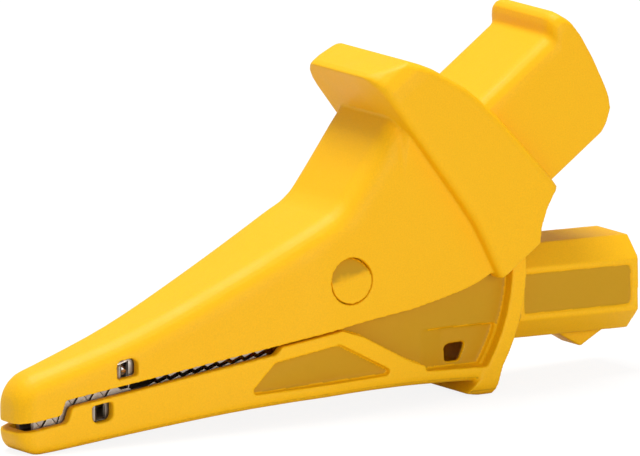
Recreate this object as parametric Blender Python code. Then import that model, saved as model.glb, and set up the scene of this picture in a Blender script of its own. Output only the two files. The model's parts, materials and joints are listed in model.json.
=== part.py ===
"""Insulated 4 mm safety crocodile clip, modelled in the clip's own frame.

The clip frame has its origin on the pivot axis, in the middle of the clip. x runs along the socket
barrel, z is up and y goes across. The handle has a frame of its own, turned by HANDLE_SLOPE: "along"
runs out along the handle and "above" is square to it. All sizes are in millimetres, and MM makes
them metres where a mesh is made.
"""
import math

import bmesh
import bpy
from mathutils import Matrix, Vector

MM = 0.001

# Reach from the pivot axis
TIP_REACH = 48.2
SOCKET_REACH = 46.1
HANDLE_REACH = 47.0
HANDLE_SLOPE = 37.0

# Widths, as half-widths from the middle plane
CHEEK_HALF = 9.0
TIP_HALF = 4.2
TAPER_START = -4.0
GUARD_HALF = 11.0
HANDLE_HALF = 8.8

# Mouldings
WALL = 1.5
ROOF = 1.8
WING_WALL = 1.6
HANDLE_WALL = 1.3
GAP = 0.3
NOSE_RADIUS = 3.2
CHIN_LIFT = 1.1
CROWN_RADIUS = 3.4
BELLY_RADIUS = 1.3
INNER_RADIUS = 0.6

# Parting line between the jaws: its height under the pivot, its slope and its gap
PART_DROP = 6.13
PART_SLOPE = 0.172
PART_GAP = 1.15
NOSE_STEP_X = 6.3 - TIP_REACH
NOSE_STEP = 2.0
MOUTH_END_X = -11.2
APEX_X = -1.4

# Pivot
TRUNNION_RADIUS = 3.1
TRUNNION_GAP = 0.1
LUG_RADIUS = 4.2
LUG_WALL = 1.6
POCKET_DEPTH = 0.9
RAMP_ANGLE = 14.0
RAMP_DEPTH = 1.2

# Shallow dish round the latch hole in the inner walls
DISH_DEPTH = 0.8
DISH_TOP = -7.9
DISH_BOTTOM = -13.3

# Shield on the lower half, concentric with the pivot
SHIELD_INNER = 25.0
SHIELD_WALL = 2.2
SHIELD_TOP_ANGLE = 1.5
SHIELD_FOOT = -17.1
FOOT_LENGTH = 4.2
FOOT_DROP = 0.3
FOOT_FLAT = 2.0
SHIELD_CORNER = 2.0

# Guard on the upper half, in the handle frame
GUARD_FRONT = 18.65
GUARD_TOP = 20.0
GUARD_BOTTOM = -14.8
GUARD_CORNER = 4.6
GUARD_WALL = 1.9
GUARD_EDGE = 1.1
GUARD_ROOM_TOP = 9.6
WING_CUT_RADIUS = 12.0
WING_CUT_ALONG = 15.6
WING_CUT_TOP = -10.0

# Handle, in the handle frame
HANDLE_TOP = 5.65
HANDLE_BOTTOM = -10.0
HANDLE_CORNER = 2.4
LIP_RISE = 2.0
LIP_LENGTH = 3.8
END_WALL = 1.9

# Socket barrel
BARREL_HALF = 6.9
BARREL_HEIGHT = 12.86
BARREL_DROP = 4.5
BARREL_CORNER = 2.9
SOCKET_BORE = 8.8
CONTACT_BORE = 4.1
CONTACT_WALL = 0.4
SLEEVE_WALL = 0.6
SLEEVE_SETBACK = 5.0
COLLAR_LENGTH = 3.0
KEEL_X = 39.6
KEEL_HALF_LENGTH = 3.9
KEEL_HALF_WIDTH = 2.45
KEEL_HEIGHT = 2.3
LABEL_DEPTH = 0.35
LABEL_HALF_HEIGHT = 2.85
LABEL_END = 1.0
LABEL_LENGTH = 17.0

# Jaw inserts
SHEET = 0.8
TOOTH_DEPTH = 2.0
FRONT_PITCH = 2.4
REAR_PITCH = 1.7
WIRE_HOLE_X = 17.0 - TIP_REACH
WIRE_HOLE_LENGTH = 5.0
INSERT_SIDE = 4.8
INSERT_FRONT = 1.8
INSERT_END_X = -10.0

# Windows in the cheeks, through which the inserts' barbs hold
UPPER_WINDOW_X = 15.5 - TIP_REACH
LOWER_WINDOW_X = 11.85 - TIP_REACH
WINDOW_LENGTH = 3.0
WINDOW_HEIGHT = 2.5
UPPER_WINDOW_RISE = 2.15
LOWER_WINDOW_DROP = 1.85

# Spring
WIRE = 1.2
COIL_RADIUS = 3.6
COIL_TURNS = 4
COIL_PITCH = 1.55
LOWER_LEG_SLOPE = -30.0
UPPER_LEG_LENGTH = 15.0
BUSH_WALL = 0.6

# Strap from the lower insert to the socket
STRAP_HALF = 2.2
STRAP_THICK = 0.6

ARC_STEPS = 7

# Past every edge of the clip, for a cut that runs right through
BEYOND = 60.0


def material(name, colour, roughness, metallic):
    """A plain finish for one kind of piece."""
    finish = bpy.data.materials.new(name)
    finish.use_nodes = True
    shader = finish.node_tree.nodes["Principled BSDF"]
    shader.inputs["Base Color"].default_value = (*colour, 1.0)
    shader.inputs["Roughness"].default_value = roughness
    shader.inputs["Metallic"].default_value = metallic
    return finish


def from_handle(along, above):
    """A point of the handle frame, in the clip frame."""
    turn = math.radians(HANDLE_SLOPE)
    x = along * math.cos(turn) - above * math.sin(turn)
    z = along * math.sin(turn) + above * math.cos(turn)
    return x, z


def smooth_curve(points, steps):
    """A curve through a few points, without corners (Catmull-Rom)."""
    ends = [points[0]] + points + [points[-1]]
    curve = []
    for i in range(1, len(ends) - 2):
        before, start, end, after = ends[i - 1:i + 3]
        for step in range(steps):
            t = step / steps
            curve.append(tuple(
                0.5 * (2 * b + (c - a) * t + (2 * a - 5 * b + 4 * c - d) * t * t
                       + (3 * b - a - 3 * c + d) * t * t * t)
                for a, b, c, d in zip(before, start, end, after)))
    curve.append(points[-1])
    return curve


def height_on(curve, x):
    """The height of a curve at x, straight between its points."""
    for (x0, z0), (x1, z1) in zip(curve, curve[1:]):
        if x <= x1:
            return z0 + (z1 - z0) * (x - x0) / (x1 - x0)
    return curve[-1][1]


def rounded(corners, steps=ARC_STEPS):
    """A closed outline from (x, z, radius) corners, with an arc in each that has a radius."""
    outline = []
    count = len(corners)
    for i, (x, z, radius) in enumerate(corners):
        here = Vector((x, z))
        if radius == 0:
            outline.append((x, z))
            continue
        back = (Vector(corners[i - 1][:2]) - here).normalized()
        on = (Vector(corners[(i + 1) % count][:2]) - here).normalized()
        half = back.angle(on) / 2
        centre = here + (back + on).normalized() * radius / math.sin(half)
        first = here + back * radius / math.tan(half) - centre
        last = here + on * radius / math.tan(half) - centre
        sweep = first.angle_signed(last)
        for step in range(steps + 1):
            point = centre + Matrix.Rotation(-sweep * step / steps, 2) @ first
            outline.append((point.x, point.y))
    return outline


def mesh_object(name, mesh_data, parent, finish=None):
    """Put a bmesh into a named object under its parent."""
    bmesh.ops.recalc_face_normals(mesh_data, faces=mesh_data.faces)
    mesh = bpy.data.meshes.new(name)
    mesh_data.to_mesh(mesh)
    mesh_data.free()
    made = bpy.data.objects.new(name, mesh)
    bpy.context.scene.collection.objects.link(made)
    made.parent = parent
    if finish:
        mesh.materials.append(finish)
    return made


def loft(name, sections, parent, finish=None):
    """A closed solid through sections, each a list of as many (x, y, z) points."""
    build = bmesh.new()
    rings = [[build.verts.new(Vector(p) * MM) for p in section] for section in sections]
    for ring, following in zip(rings, rings[1:]):
        for i in range(len(ring)):
            j = (i + 1) % len(ring)
            build.faces.new((ring[i], ring[j], following[j], following[i]))
    build.faces.new(rings[0])
    build.faces.new(list(reversed(rings[-1])))
    return mesh_object(name, build, parent, finish)


def prism(name, outline, low, high, parent, finish=None):
    """A solid with this (x, z) outline, from low to high across the clip."""
    sections = [[(x, y, z) for x, z in outline] for y in (low, high)]
    return loft(name, sections, parent, finish)


def turned(name, profile, height, parent, finish=None, steps=32):
    """A solid turned round the barrel's axis, from an (x, radius) outline closed on itself."""
    sections = []
    for i in range(steps):
        turn = 2 * math.pi * i / steps
        sections.append([(x, r * math.sin(turn), height + r * math.cos(turn)) for x, r in profile])
    build = bmesh.new()
    rings = [[build.verts.new(Vector(p) * MM) for p in section] for section in sections]
    for ring, following in zip(rings, rings[1:] + rings[:1]):
        for i in range(len(ring)):
            j = (i + 1) % len(ring)
            build.faces.new((ring[i], ring[j], following[j], following[i]))
    bmesh.ops.remove_doubles(build, verts=build.verts, dist=1e-6)
    return mesh_object(name, build, parent, finish)


def disc(name, x, z, radius, low, high, parent, steps=32):
    """A cylinder across the clip, from low to high."""
    outline = []
    for i in range(steps):
        turn = 2 * math.pi * i / steps
        outline.append((x + radius * math.cos(turn), z + radius * math.sin(turn)))
    return prism(name, outline, low, high, parent)


def combine(target, tool, operation):
    """Join a tool to a piece, or cut it out of the piece."""
    tool.hide_render = True
    tool.display_type = "WIRE"
    step = target.modifiers.new(tool.name, "BOOLEAN")
    step.operation = operation
    step.solver = "EXACT"
    step.object = tool


def parting(x):
    """Height of the upper jaw's edge behind the nose."""
    return -PART_DROP + PART_SLOPE * x


def tooth_line(x):
    """Middle height between the jaws, which drops at the nose."""
    drop = NOSE_STEP if x < NOSE_STEP_X else 0.0
    return parting(x) - PART_GAP / 2 - drop


def straight_half(x):
    """Half-width of both casings' flat cheeks, which taper towards the tip."""
    taper_end = -TIP_REACH + NOSE_RADIUS
    share = min(1.0, max(0.0, (TAPER_START - x) / (TAPER_START - taper_end)))
    return CHEEK_HALF - (CHEEK_HALF - TIP_HALF) * share


def cheek_half(x):
    """Half-width of both casings, with the nose rounded in plan."""
    return straight_half(x) - nose_drop(x)


def nose_drop(x):
    """How far the nose's rounding lies inside its straight outline at x."""
    past = min(NOSE_RADIUS, max(0.0, -TIP_REACH + NOSE_RADIUS - x))
    return NOSE_RADIUS - math.sqrt(NOSE_RADIUS ** 2 - past ** 2)


# Top line of the upper jaw, from the nose up the neck into the guard
neck_end = from_handle(GUARD_FRONT, 12.7)
neck_inside = (neck_end[0] + 4.2, neck_end[1] + 5.6)
past_neck = (neck_inside[0] + 20.0, neck_inside[1] + 0.5)
nose_line = parting(-TIP_REACH) - NOSE_STEP
nose_top = [(-TIP_REACH, nose_line + 5.8), (5.4 - TIP_REACH, nose_line + 7.35),
            (17.3 - TIP_REACH, nose_line + 11.45)]
neck_front = [(-18.0, 0.98), (-5.0, 7.6), (-1.35, 9.75), (1.25, 12.9), neck_end]
UPPER_TOP = smooth_curve(nose_top + neck_front + [neck_inside, past_neck], 4)

# Belly line of the lower jaw, from the nose to the shield
chin = [(-TIP_REACH, nose_line - 4.3), (4.4 - TIP_REACH, nose_line - 4.0),
        (18.4 - TIP_REACH, nose_line - 2.0)]
BELLY = smooth_curve(chin + [(-15.0, -16.6), (0.0, -15.5), (12.0, -15.2), (26.0, -15.6)], 4)

# The closed clip rests on its belly near the nose and on the rear of the shield's foot
FOOT_X = math.sqrt(SHIELD_INNER ** 2 - SHIELD_FOOT ** 2)
FOOT_REAR = (FOOT_X + FOOT_LENGTH, SHIELD_FOOT - FOOT_DROP)
REST_X, REST_Z = BELLY[4]
GROUND_SLOPE = math.atan2(FOOT_REAR[1] - REST_Z, FOOT_REAR[0] - REST_X)

# The socket's bore begins behind the shield's inner face
SOCKET_START = SHIELD_INNER + 0.6


def top_stretch(x):
    """How much thicker a wall square to the sloping top line is, measured upright."""
    rise = height_on(UPPER_TOP, x + 0.5) - height_on(UPPER_TOP, x - 0.5)
    return math.sqrt(1 + rise ** 2)


def nose_stations(front, last):
    """Places along x for a casing's sections or its hollow's, close together round the nose."""
    turns = [math.radians(a) for a in (0, 15, 30, 45, 60, 75, 90)]
    rounding = [-TIP_REACH + NOSE_RADIUS * (1 - math.cos(turn)) for turn in turns]
    stations = rounding + [x for x, z in UPPER_TOP if rounding[-1] + 0.5 < x < last] + [last]
    first = -TIP_REACH + front
    return [first] + [x for x in stations if x > first + 0.1]


def upper_solid(name, parent, inset, roof, front, bottom, last, finish=None):
    """The upper jaw and neck as one block with a round crown, or the hollow inside it."""
    sections = []
    for x in nose_stations(front, last):
        stretch = top_stretch(x)
        half = cheek_half(x) - inset
        top = height_on(UPPER_TOP, x) - nose_drop(x) - roof * stretch
        radius = INNER_RADIUS if inset else min(CROWN_RADIUS, 0.85 * half)
        corner = min(radius * stretch, top - bottom - 0.5)
        side = []
        for step in range(ARC_STEPS + 1):
            turn = math.pi / 2 * step / ARC_STEPS
            y = half - radius * (1 - math.cos(turn))
            side.append((x, y, top - corner * (1 - math.sin(turn))))
        mirrored = [(px, -py, pz) for px, py, pz in reversed(side)]
        sections.append([(x, half, bottom)] + side + mirrored + [(x, -half, bottom)])
    return loft(name, sections, parent, finish)


def lower_solid(name, parent, inset, floor, front, top, last, finish=None):
    """The lower jaw as one block with a round belly, or the hollow inside it."""
    sections = []
    for x in nose_stations(front, last):
        half = cheek_half(x) - inset
        bottom = height_on(BELLY, x) + CHIN_LIFT * nose_drop(x) + floor
        radius = INNER_RADIUS if inset else min(BELLY_RADIUS, 0.8 * half)
        side = []
        for step in range(ARC_STEPS + 1):
            turn = math.pi / 2 * step / ARC_STEPS
            y = half - radius * (1 - math.sin(turn))
            side.append((x, y, bottom + radius * (1 - math.cos(turn))))
        mirrored = [(px, -py, pz) for px, py, pz in reversed(side)]
        sections.append(side + [(x, half, top), (x, -half, top)] + mirrored)
    return loft(name, sections, parent, finish)


def guard_back(above):
    """How far back the guard's rear edge lies at a height over the handle's axis."""
    edge = [(GUARD_BOTTOM, 12.9), (-9.0, 12.75), (-4.0, 12.15), (0.0, 11.85), (6.0, 11.0), (10.0, 10.0),
            (15.0, 7.9), (18.3, 5.95), (GUARD_TOP, 0.9)]
    return GUARD_FRONT + height_on(edge, above)


def guard_front(above):
    """The guard's front face leans a little forward at its feet."""
    return GUARD_FRONT - 1.55 * max(0.0, min(1.0, (-4.0 - above) / 9.9)) ** 1.5


def guard_width(above):
    """Half-width of the guard, with round shoulders."""
    shoulder = max(0.0, above - (GUARD_TOP - GUARD_CORNER))
    foot = 0.5 * max(0.0, min(1.0, (-6.0 - above) / 8.0))
    return GUARD_HALF - GUARD_CORNER + math.sqrt(GUARD_CORNER ** 2 - shoulder ** 2) - foot


def guard_block(name, parent):
    """The hand guard's outside, in sections square to its height."""
    shoulder = GUARD_TOP - GUARD_CORNER
    levels = [GUARD_BOTTOM, -11.5, -9.0, -6.0, -2.0, 3.0, 7.0, 10.0, 13.0, shoulder]
    levels += [shoulder + GUARD_CORNER * math.sin(math.radians(a)) for a in (20, 40, 55, 70, 80, 88)]
    sections = []
    for above in levels:
        front, back, half = guard_front(above), guard_back(above), guard_width(above)
        edge = min(GUARD_EDGE, 0.45 * (back - front))
        corners = [(front, -half, edge), (front, half, edge), (back, half, edge), (back, -half, edge)]
        ring = []
        for along, y in rounded(corners, 3):
            x, z = from_handle(along, above)
            ring.append((x, y, z))
        sections.append(ring)
    return loft(name, sections, parent)


def handle_block(name, parent):
    """The thumb grip with the raised lip at its end, in sections along the handle."""
    end = HANDLE_REACH
    lip = end - LIP_LENGTH
    rise = LIP_RISE
    top = [(0.0, 0.0), (lip, 0.0), (lip + 0.5, 0.12 * rise), (lip + 1.1, 0.6 * rise),
           (lip + 1.7, 0.92 * rise), (lip + 2.4, rise), (lip + 3.3, 0.85 * rise), (end, 0.1 * rise)]
    foot = [(0.0, 0.0), (end - 5.4, 0.0), (end - 4.1, 0.5), (end - 2.4, 1.7), (end - 1.6, 3.3),
            (end - 1.2, 4.8), (end - 0.4, 8.9), (end, 12.4)]
    stations = [GUARD_FRONT + 6.0] + sorted({x for x, z in top[1:] + foot[1:]})
    sections = []
    for along in stations:
        high = HANDLE_TOP + height_on(top, along)
        low = HANDLE_BOTTOM + height_on(foot, along)
        corners = [(-HANDLE_HALF, low, 0.5), (HANDLE_HALF, low, 0.5),
                   (HANDLE_HALF, high, min(HANDLE_CORNER, 0.45 * (high - low))),
                   (-HANDLE_HALF, high, min(HANDLE_CORNER, 0.45 * (high - low)))]
        ring = []
        for y, above in rounded(corners, 4):
            x, z = from_handle(along, above)
            ring.append((x, y, z))
        sections.append(ring)
    return loft(name, sections, parent)


def cut_off_behind(name, along, target, parent):
    """Cut off everything further out along the handle than this."""
    corners = [(along, BEYOND), (along, -BEYOND), (along + BEYOND, -BEYOND), (along + BEYOND, BEYOND)]
    outline = [from_handle(a, b) for a, b in corners]
    combine(target, prism(name, outline, -BEYOND, BEYOND, parent), "DIFFERENCE")


def upper_casing(parent, finish):
    """Upper jaw, neck, hand guard and thumb grip: one moulding, open underneath."""
    inside_guard = from_handle(GUARD_FRONT + 2.0, GUARD_BOTTOM)[0] + 1.0
    casing = upper_solid("upper_casing", parent, 0.0, 0.0, 0.0, BELLY[0][1] - 2.0, inside_guard, finish)
    cheek_end = GUARD_BOTTOM + 0.9
    cheek_edge = [(APEX_X, parting(APEX_X)), (2.9, -5.6), (9.7, -4.6), (13.9, -3.6), (17.3, -2.7),
                  (19.5, -1.9), from_handle(GUARD_FRONT - 0.6, cheek_end)]
    below = [(-TIP_REACH - 2.0, nose_line - PART_SLOPE * 2.0, 0.0),
             (NOSE_STEP_X - 0.35, parting(NOSE_STEP_X) - NOSE_STEP, 0.6),
             (NOSE_STEP_X + 0.35, parting(NOSE_STEP_X), 0.6)]
    below += [(x, z, 0.0) for x, z in cheek_edge]
    below += [(*from_handle(GUARD_FRONT + 12.0, cheek_end), 0.0),
              (SHIELD_INNER + 10.0, -BEYOND, 0.0), (-TIP_REACH - 2.0, -BEYOND, 0.0)]
    combine(casing, prism("below_upper_edge", rounded(below), -BEYOND, BEYOND, parent), "DIFFERENCE")
    cut_off_behind("behind_cheeks", GUARD_FRONT + 2.0, casing, parent)

    guard = guard_block("guard_block", parent)
    rear_x, rear_z = from_handle(GUARD_FRONT + WING_CUT_ALONG, WING_CUT_TOP - WING_CUT_RADIUS)
    combine(guard, disc("wing_cut", rear_x, rear_z, WING_CUT_RADIUS, -BEYOND, BEYOND, parent), "DIFFERENCE")
    combine(casing, guard, "UNION")
    combine(casing, handle_block("handle_block", parent), "UNION")

    jaw_hollow = upper_solid("upper_jaw_hollow", parent, WALL, ROOF, INSERT_FRONT - 0.1, BELLY[0][1] - 3.0,
                             inside_guard)
    cut_off_behind("behind_neck", GUARD_FRONT + 2.5, jaw_hollow, parent)
    combine(casing, jaw_hollow, "DIFFERENCE")

    # The shield slides up inside the guard as the clip opens
    guard_in = GUARD_FRONT + GUARD_WALL
    room_back = guard_back(GUARD_ROOM_TOP) - GUARD_WALL - 0.6
    guard_hollow = [(guard_in, GUARD_ROOM_TOP, 1.0), (guard_in, -4.0, 3.0), (guard_in - 2.6, -22.0, 0.0),
                    (BEYOND, -22.0, 0.0), (BEYOND, -16.0, 0.0), (guard_back(-8.0) - GUARD_WALL, -9.8, 0.0),
                    (guard_back(0.0) - GUARD_WALL, 0.0, 0.0), (room_back, GUARD_ROOM_TOP, 1.0)]
    shape = [from_handle(a, b) for a, b in rounded(guard_hollow)]
    combine(casing, prism("guard_hollow", shape, WING_WALL - GUARD_HALF, GUARD_HALF - WING_WALL, parent),
            "DIFFERENCE")

    # The barrel goes up inside the thumb grip
    grip_in = HANDLE_TOP - ROOF
    grip_hollow = [(GUARD_FRONT + 4.0, grip_in, 0.0), (GUARD_FRONT + 4.0, -BEYOND, 0.0),
                   (HANDLE_REACH + 5.0, -BEYOND, 0.0), (HANDLE_REACH + 5.0, -2.9, 0.0),
                   (HANDLE_REACH - END_WALL - 0.8, -2.9, 0.0), (HANDLE_REACH - END_WALL, grip_in, 1.0)]
    shape = [from_handle(a, b) for a, b in rounded(grip_hollow)]
    grip_half = HANDLE_HALF - HANDLE_WALL
    combine(casing, prism("grip_hollow", shape, -grip_half, grip_half, parent), "DIFFERENCE")

    hole = TRUNNION_RADIUS + TRUNNION_GAP
    combine(casing, disc("trunnion_holes", 0.0, 0.0, hole, -BEYOND, BEYOND, parent), "DIFFERENCE")
    window_z = parting(UPPER_WINDOW_X) + UPPER_WINDOW_RISE
    combine(casing, window("upper_windows", UPPER_WINDOW_X, window_z, 1, parent), "DIFFERENCE")
    return casing


def window(name, x, z, away, parent):
    """A small hole through both cheeks, with its round end away from the parting line."""
    half = WINDOW_LENGTH / 2
    rise = WINDOW_HEIGHT / 2 * away
    lean = PART_SLOPE * half
    corners = [(x - half, z - rise - lean, 0.25), (x + half, z - rise + lean, 0.25),
               (x + half, z + rise + lean, 0.9), (x - half, z + rise - lean, 0.9)]
    return prism(name, rounded(corners, 4), -BEYOND, BEYOND, parent)


def cheek_pocket(name, side, parent):
    """The weight-saving pocket in the lower cheek, of one depth under the tapering cheek."""
    front_top = (-11.3, -10.3)
    front_bottom = (-15.2, -14.5)
    rear_top = (-1.8, -8.5)
    rear_bottom = (7.2, -13.2)
    bend_bottom = height_on([front_bottom, rear_bottom], TAPER_START)
    bend_top = height_on([front_top, rear_top], TAPER_START)
    outline = rounded([(*front_top, 0.5), (*front_bottom, 0.5), (TAPER_START, bend_bottom, 0.0),
                       (*rear_bottom, 0.5), (*rear_top, 0.8), (TAPER_START, bend_top, 0.0)])
    sections = []
    for depth in (-POCKET_DEPTH, 3.0):
        sections.append([(x, side * (straight_half(x) + depth), z) for x, z in outline])
    return loft(name, sections, parent)


def arc_points(radius, first, last, steps=8):
    """Points on an arc round the pivot, between two angles in degrees."""
    turns = [math.radians(first + (last - first) * step / steps) for step in range(steps + 1)]
    return [(radius * math.cos(turn), radius * math.sin(turn)) for turn in turns]


def octagon(half, height, corner):
    """Outline of the barrel seen from its end, as (y, z) from its centre."""
    rise = height / 2
    flat = half - corner
    side = rise - corner
    return [(flat, rise), (half, side), (half, -side), (flat, -rise),
            (-flat, -rise), (-half, -side), (-half, side), (-flat, rise)]


def lower_casing(parent, finish):
    """Lower jaw, pivot lugs, shield and socket barrel: one moulding."""
    casing = lower_solid("lower_casing", parent, 0.0, 0.0, 0.0, 0.0, SHIELD_INNER - 2.5, finish)
    above = [(-TIP_REACH - 2.0, nose_line - PART_GAP - PART_SLOPE * 2.0, 0.0),
             (NOSE_STEP_X + 0.55, parting(NOSE_STEP_X + 0.55) - NOSE_STEP - PART_GAP, 0.8),
             (NOSE_STEP_X + 1.25, parting(NOSE_STEP_X + 1.25) - PART_GAP, 0.6),
             (MOUTH_END_X, parting(MOUTH_END_X) - PART_GAP, 0.0),
             (MOUTH_END_X + 0.9, parting(MOUTH_END_X + 0.9) - GAP, 0.0),
             (APEX_X, parting(APEX_X) - GAP, 0.0), (1.8, -7.7, 1.5), (8.9, -11.55, 5.0), (13.5, -13.3, 6.0),
             (SHIELD_INNER + 5.0, -13.6, 0.0), (SHIELD_INNER + 5.0, BEYOND, 0.0),
             (-TIP_REACH - 2.0, BEYOND, 0.0)]
    combine(casing, prism("above_lower_edge", rounded(above), -BEYOND, BEYOND, parent), "DIFFERENCE")

    # Inner walls carry the trunnions and stand between the upper cheeks
    wall_out = CHEEK_HALF - WALL - GAP
    lug = [(-LUG_RADIUS, -9.0, 0.0), (-LUG_RADIUS, LUG_RADIUS, LUG_RADIUS - 0.05), (3.0, LUG_RADIUS, 2.0),
           (SHIELD_INNER + 1.0, 0.2, 0.0), (SHIELD_INNER + 1.0, -8.0, 0.0), (21.5, -14.5, 0.0),
           (-9.5, -15.4, 0.0), (-9.5, -9.0, 0.0)]
    combine(casing, prism("inner_body", rounded(lug), -wall_out, wall_out, parent), "UNION")

    foot_turn = math.degrees(math.asin(SHIELD_FOOT / SHIELD_INNER))
    arc = arc_points(SHIELD_INNER, foot_turn, SHIELD_TOP_ANGLE)
    arc += arc_points(SHIELD_INNER + SHIELD_WALL, SHIELD_TOP_ANGLE + 2.0, foot_turn + 13.0)
    flat_front = FOOT_REAR[1] - FOOT_FLAT * math.tan(GROUND_SLOPE)
    arc += [FOOT_REAR, (FOOT_REAR[0] - FOOT_FLAT, flat_front)]
    shield_half = GUARD_HALF - WING_WALL - GAP
    shield = prism("shield", arc, -shield_half, shield_half, parent)
    bottom = flat_front - 0.05
    corner = SHIELD_CORNER
    outline = rounded([(-shield_half, bottom, corner), (shield_half, bottom, corner),
                       (shield_half, 10.0, 0.0), (-shield_half, 10.0, 0.0)])
    envelope = loft("shield_outline", [[(x, y, z) for y, z in outline] for x in (0.0, BEYOND)], parent)
    combine(shield, envelope, "INTERSECT")
    combine(casing, shield, "UNION")

    barrel_start = SHIELD_INNER - 2.0
    ring = octagon(BARREL_HALF, BARREL_HEIGHT, BARREL_CORNER)
    sections = [[(x, y, z - BARREL_DROP) for y, z in ring] for x in (barrel_start, SOCKET_REACH)]
    combine(casing, loft("barrel", sections, parent), "UNION")
    barrel_bottom = -BARREL_DROP - BARREL_HEIGHT / 2
    keel_front = KEEL_X - KEEL_HALF_LENGTH
    keel_rear = KEEL_X + KEEL_HALF_LENGTH
    keel = [(keel_front, barrel_bottom + 0.4, 0.0), (keel_front, barrel_bottom, 0.0),
            (KEEL_X, barrel_bottom - KEEL_HEIGHT, 0.4), (keel_rear, barrel_bottom, 0.0),
            (keel_rear, barrel_bottom + 0.4, 0.0)]
    combine(casing, prism("keel", rounded(keel), -KEEL_HALF_WIDTH, KEEL_HALF_WIDTH, parent), "UNION")

    # Trunnions with a ramp on the side that goes into the upper cheek first
    turn = math.radians(RAMP_ANGLE)
    trunnion = disc("trunnions", 0.0, 0.0, TRUNNION_RADIUS, -CHEEK_HALF, CHEEK_HALF, parent)
    for side in (-1, 1):
        sections = []
        for along in (-6.0, 6.0):
            ramp = [(0.0, CHEEK_HALF + 0.01), (TRUNNION_RADIUS + 1.0, CHEEK_HALF + 0.01),
                    (TRUNNION_RADIUS + 1.0, CHEEK_HALF - RAMP_DEPTH * 1.3)]
            sections.append([(along * math.cos(turn) - up * math.sin(turn), side * y,
                              along * math.sin(turn) + up * math.cos(turn)) for up, y in ramp])
        combine(trunnion, loft("ramp_left" if side < 0 else "ramp_right", sections, parent), "DIFFERENCE")
    combine(casing, trunnion, "UNION")

    # Hollow of the jaw, the room between the inner walls and the socket's bore
    combine(casing, lower_solid("lower_jaw_hollow", parent, WALL, WALL, INSERT_FRONT - 0.1, 10.0, -6.0),
            "DIFFERENCE")
    room_half = wall_out - LUG_WALL
    floor = height_on(BELLY, 0.0) + WALL
    room = [(-20.0, 10.0, 0.0), (-20.0, height_on(BELLY, -12.0) + WALL + 0.2, 0.0), (0.0, floor, 0.0),
            (SHIELD_INNER - 4.4, floor, 1.0), (SHIELD_INNER - 1.9, -2 * BARREL_DROP, 2.0),
            (SHIELD_INNER - 1.9, 10.0, 0.0)]
    combine(casing, prism("spring_room", rounded(room), -room_half, room_half, parent), "DIFFERENCE")
    bore = [(SOCKET_START, 0.0), (SOCKET_START, SOCKET_BORE / 2), (SOCKET_REACH + 2.0, SOCKET_BORE / 2),
            (SOCKET_REACH + 2.0, 0.0)]
    combine(casing, turned("socket_bore", bore, -BARREL_DROP, parent), "DIFFERENCE")
    tail = [(SHIELD_INNER - 6.0, 0.0), (SHIELD_INNER - 6.0, CONTACT_BORE / 2 + GAP),
            (SOCKET_START + 1.0, CONTACT_BORE / 2 + GAP), (SOCKET_START + 1.0, 0.0)]
    combine(casing, turned("tail_hole", tail, -BARREL_DROP, parent), "DIFFERENCE")

    # Bosses inside the bush
    boss_radius = COIL_RADIUS - WIRE / 2 - GAP - BUSH_WALL - GAP
    for side in (-1, 1):
        low, high = sorted((side * (room_half + 0.3), side * (room_half - 2.0)))
        name = "boss_left" if side < 0 else "boss_right"
        combine(casing, disc(name, 0.0, 0.0, boss_radius, low, high, parent, 20), "UNION")

    for side in (-1, 1):
        name = "cheek_pocket_left" if side < 0 else "cheek_pocket_right"
        combine(casing, cheek_pocket(name, side, parent), "DIFFERENCE")
        low, high = sorted((side * (BARREL_HALF - LABEL_DEPTH), side * BEYOND))
        label_end = SOCKET_REACH - LABEL_END
        label = [(label_end - LABEL_LENGTH, -BARREL_DROP - LABEL_HALF_HEIGHT, 0.3),
                 (label_end, -BARREL_DROP - LABEL_HALF_HEIGHT, 0.8),
                 (label_end, -BARREL_DROP + LABEL_HALF_HEIGHT, 0.8),
                 (label_end - LABEL_LENGTH, -BARREL_DROP + LABEL_HALF_HEIGHT, 0.3)]
        name = "label_left" if side < 0 else "label_right"
        combine(casing, prism(name, rounded(label, 3), low, high, parent), "DIFFERENCE")
    for side in (-1, 1):
        dish = [(11.6, wall_out + 0.02), (15.2, wall_out - DISH_DEPTH), (SHIELD_INNER, wall_out - DISH_DEPTH),
                (SHIELD_INNER, wall_out + 3.0), (11.6, wall_out + 3.0)]
        sections = [[(x, side * y, z) for x, y in dish] for z in (DISH_BOTTOM, DISH_TOP)]
        name = "latch_dish_left" if side < 0 else "latch_dish_right"
        tool = loft(name, sections, parent)
        inside_shield = disc(name + "_end", 0.0, 0.0, SHIELD_INNER - GAP, -BEYOND, BEYOND, parent, 64)
        combine(tool, inside_shield, "INTERSECT")
        combine(casing, tool, "DIFFERENCE")
    latch = [(15.8, -12.8, 0.6), (18.2, -12.7, 0.3), (19.15, -10.2, 0.3), (15.8, -10.35, 0.7)]
    combine(casing, prism("latch_holes", rounded(latch, 3), -BEYOND, BEYOND, parent), "DIFFERENCE")
    window_z = parting(LOWER_WINDOW_X) - PART_GAP - LOWER_WINDOW_DROP
    combine(casing, window("lower_windows", LOWER_WINDOW_X, window_z, -1, parent), "DIFFERENCE")
    return casing


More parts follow.
